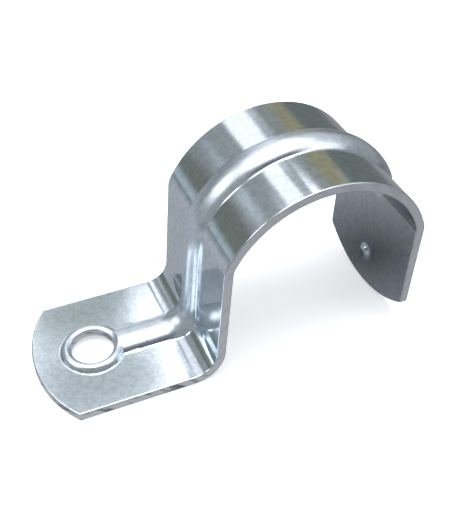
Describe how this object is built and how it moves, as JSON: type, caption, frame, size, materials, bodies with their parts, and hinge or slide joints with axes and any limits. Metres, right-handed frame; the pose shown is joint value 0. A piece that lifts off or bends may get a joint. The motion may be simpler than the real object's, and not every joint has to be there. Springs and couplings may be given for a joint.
{
  "type": "conduit strap",
  "caption": "One-hole pressed steel strap that holds a round conduit to a wall, with a stiffening bead from the screw hole over the arch.",
  "frame": {"origin": "where the screw's axis meets the mounting plane", "axes": "+X from the foot over the conduit to the free leg, +Y along the conduit, +Z out of the mounting surface, along the screw"},
  "size_m": [0.0585, 0.0224, 0.0322],
  "materials": {
    "zinc_plate": "bright blue-white zinc plate on pressed steel sheet, sheared edges satin"
  },
  "bodies": {
    "root": {"strap": "zinc_plate"}
  },
  "joints": []
}
